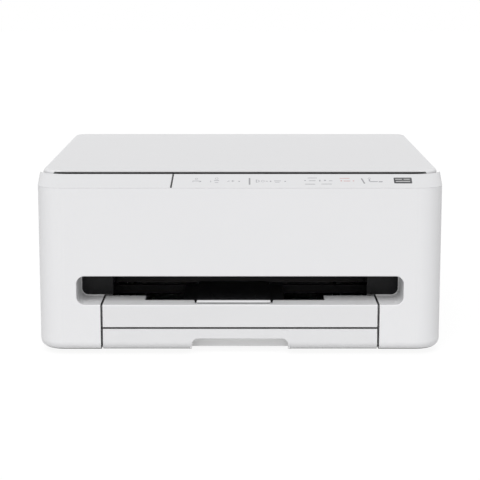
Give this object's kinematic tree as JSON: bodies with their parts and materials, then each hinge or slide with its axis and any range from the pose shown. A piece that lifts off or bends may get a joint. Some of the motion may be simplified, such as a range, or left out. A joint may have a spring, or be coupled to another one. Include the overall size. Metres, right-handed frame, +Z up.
{
  "type": "inkjet multifunction printer",
  "caption": "Low white desktop printer with a flatbed scanner, a hinged document cover, a wide front output slot, a pull-out tray and a paper cassette.",
  "frame": {"origin": "under the middle of the body, on the surface it stands on", "axes": "+Z up, front with the output slot faces -Y, +X to the right seen from the front"},
  "size_m": [0.376, 0.35, 0.1704],
  "materials": {
    "shell_white": "fine moulded texture, satin",
    "tray_white": "smooth satin",
    "panel_white": "smooth film",
    "black_gloss": "polished",
    "black_matte": "moulded",
    "grey_plastic": "moulded",
    "natural_pom": "smooth",
    "steel_sheet": "zinc plated sheet",
    "steel_rod": "ground and plated",
    "rubber_dark": "matt",
    "rubber_grey": "matt",
    "glass_clear": "polished",
    "foam_white": "closed-cell foam with a film face",
    "board_green": "solder mask",
    "film_clear": "polyester film",
    "felt": "pressed felt",
    "ink_black": "moulded",
    "ink_colour": "moulded"
  },
  "bodies": {
    "chassis": {"base_case": "shell_white", "front_case": "shell_white", "rear_case": "shell_white", "rubber_feet": "rubber_dark", "case_screws": "steel_sheet", "inner_deck": "grey_plastic", "slot_liner": "black_gloss", "main_frame": "steel_sheet", "guide_rod": "steel_rod", "shaft_bushings": "natural_pom", "print_base": "black_matte", "platen": "black_matte", "paper_drum": "black_matte", "pinch_holder": "black_matte", "feed_motor": "steel_sheet", "carriage_belt": "rubber_dark", "carriage_motor": "steel_sheet", "encoder_strip": "film_clear", "purge_unit": "grey_plastic", "ink_absorber": "felt", "logic_board": "board_green", "power_supply": "black_matte", "ac_inlet": "black_matte", "usb_port": "steel_sheet", "scanner_hinges": "steel_sheet"},
    "scanner_unit": {"scanner_tray": "black_matte", "scanner_top": "shell_white", "scan_glass": "glass_clear", "operation_panel": "panel_white", "panel_board": "board_green", "cover_hinges": "tray_white", "scan_rail": "steel_rod"},
    "scan_bar": {"scan_bar": "black_matte"},
    "document_cover": {"document_cover": "shell_white", "pressure_pad": "foam_white"},
    "print_carriage": {"print_carriage": "grey_plastic", "ink_cartridge_black": "ink_black", "ink_cartridge_colour": "ink_colour"},
    "lock_black": {"cartridge_lock_black": "tray_white"},
    "lock_colour": {"cartridge_lock_colour": "tray_white"},
    "drive_pulley": {"drive_pulley": "natural_pom"},
    "idler_pulley": {"idler_pulley": "natural_pom"},
    "feed_roller": {"feed_roller": "rubber_grey", "feed_gear": "natural_pom"},
    "idler_gear": {"idler_gear": "natural_pom"},
    "eject_roller": {"eject_roller": "rubber_grey"},
    "motor_pinion": {"motor_pinion": "natural_pom"},
    "pinch_rollers": {"pinch_rollers": "natural_pom"},
    "pickup_arm": {"pickup_arm": "grey_plastic"},
    "pickup_roller": {"pickup_roller": "rubber_dark"},
    "purge_caps": {"purge_caps": "rubber_dark"},
    "output_tray": {"output_tray": "tray_white"},
    "tray_extension": {"tray_extension": "tray_white"},
    "output_stopper": {"output_stopper": "tray_white"},
    "cassette": {"cassette_tray": "tray_white", "cassette_front": "shell_white"},
    "guide_left": {"paper_guide_left": "grey_plastic"},
    "guide_right": {"paper_guide_right": "grey_plastic"},
    "guide_length": {"paper_guide_length": "grey_plastic"},
    "rear_cover": {"rear_cover": "grey_plastic"}
  },
  "joints": [
    {"name": "scanner_open", "type": "hinge", "parent": "chassis", "child": "scanner_unit", "pos_m": [0, 0.163, 0.153], "axis": [-1, 0, 0], "range_deg": [0, 35]},
    {"name": "cover_open", "type": "hinge", "parent": "scanner_unit", "child": "document_cover", "pos_m": [0, 0.1675, 0.1635], "axis": [-1, 0, 0], "range_deg": [0, 90]},
    {"name": "scan_travel", "type": "slide", "parent": "scanner_unit", "child": "scan_bar", "axis": [1, 0, 0], "range_m": [0, 0.286]},
    {"name": "carriage_travel", "type": "slide", "parent": "chassis", "child": "print_carriage", "axis": [-1, 0, 0], "range_m": [0, 0.262]},
    {"name": "lock_black_open", "type": "hinge", "parent": "print_carriage", "child": "lock_black", "pos_m": [0, -0.008, 0.1135], "axis": [-1, 0, 0], "range_deg": [0, 30]},
    {"name": "lock_colour_open", "type": "hinge", "parent": "print_carriage", "child": "lock_colour", "pos_m": [0, -0.008, 0.1135], "axis": [-1, 0, 0], "range_deg": [0, 30]},
    {"name": "drive_pulley_turn", "type": "hinge", "parent": "chassis", "child": "drive_pulley", "pos_m": [-0.15, 0.042, 0.115], "axis": [0, 0, 1], "range_deg": [0, 2502.9]},
    {"name": "idler_pulley_turn", "type": "hinge", "parent": "chassis", "child": "idler_pulley", "pos_m": [0.15, 0.042, 0.115], "axis": [0, 0, 1], "range_deg": [0, 2502.9]},
    {"name": "feed_turn", "type": "hinge", "parent": "chassis", "child": "feed_roller", "pos_m": [0, 0.03, 0.062], "axis": [1, 0, 0], "continuous": true},
    {"name": "idler_turn", "type": "hinge", "parent": "chassis", "child": "idler_gear", "pos_m": [0, -0.02349, 0.06307], "axis": [1, 0, 0], "continuous": true},
    {"name": "eject_turn", "type": "hinge", "parent": "chassis", "child": "eject_roller", "pos_m": [0, -0.07, 0.064], "axis": [1, 0, 0], "continuous": true},
    {"name": "pinion_turn", "type": "hinge", "parent": "chassis", "child": "motor_pinion", "pos_m": [0, 0.046, 0.03429], "axis": [1, 0, 0], "continuous": true},
    {"name": "pinch_turn", "type": "hinge", "parent": "chassis", "child": "pinch_rollers", "pos_m": [0, 0.03, 0.0728], "axis": [1, 0, 0], "continuous": true},
    {"name": "pickup_swing", "type": "hinge", "parent": "chassis", "child": "pickup_arm", "pos_m": [-0.0055, 0.075, 0.044], "axis": [-1, 0, 0], "range_deg": [0, 7]},
    {"name": "pickup_turn", "type": "hinge", "parent": "pickup_arm", "child": "pickup_roller", "pos_m": [-0.0055, 0.112, 0.033], "axis": [1, 0, 0], "continuous": true},
    {"name": "caps_drop", "type": "slide", "parent": "chassis", "child": "purge_caps", "axis": [0, 0, -1], "range_m": [0, 0.003]},
    {"name": "tray_out", "type": "slide", "parent": "chassis", "child": "output_tray", "axis": [0, -1, 0], "range_m": [0, 0.06]},
    {"name": "extension_out", "type": "slide", "parent": "output_tray", "child": "tray_extension", "axis": [0, -1, 0], "range_m": [0, 0.07]},
    {"name": "stopper_up", "type": "hinge", "parent": "tray_extension", "child": "output_stopper", "pos_m": [-0.0055, -0.164, 0.0503], "axis": [1, 0, 0], "range_deg": [0, 100]},
    {"name": "cassette_out", "type": "slide", "parent": "chassis", "child": "cassette", "axis": [0, -1, 0], "range_m": [0, 0.25]},
    {"name": "guide_left_in", "type": "slide", "parent": "cassette", "child": "guide_left", "axis": [1, 0, 0], "range_m": [0, 0.055]},
    {"name": "guide_right_in", "type": "slide", "parent": "cassette", "child": "guide_right", "axis": [1, 0, 0], "range_m": [-0.055, 0]},
    {"name": "guide_length_in", "type": "slide", "parent": "cassette", "child": "guide_length", "axis": [0, 1, 0], "range_m": [0, 0.12]},
    {"name": "rear_cover_open", "type": "hinge", "parent": "chassis", "child": "rear_cover", "pos_m": [0, 0.1735, 0.0355], "axis": [-1, 0, 0], "range_deg": [0, 70]}
  ],
  "couplings": [
    {"joint": "drive_pulley_turn", "follows": "carriage_travel", "rad_per_m": 166.67},
    {"joint": "idler_pulley_turn", "follows": "carriage_travel", "rad_per_m": 166.67},
    {"joint": "idler_turn", "follows": "feed_turn", "ratio": -0.81356},
    {"joint": "eject_turn", "follows": "feed_turn", "ratio": 1.4118},
    {"joint": "pinion_turn", "follows": "feed_turn", "ratio": -3},
    {"joint": "pinch_turn", "follows": "feed_turn", "ratio": -2},
    {"joint": "guide_right_in", "follows": "guide_left_in", "ratio": -1}
  ]
}
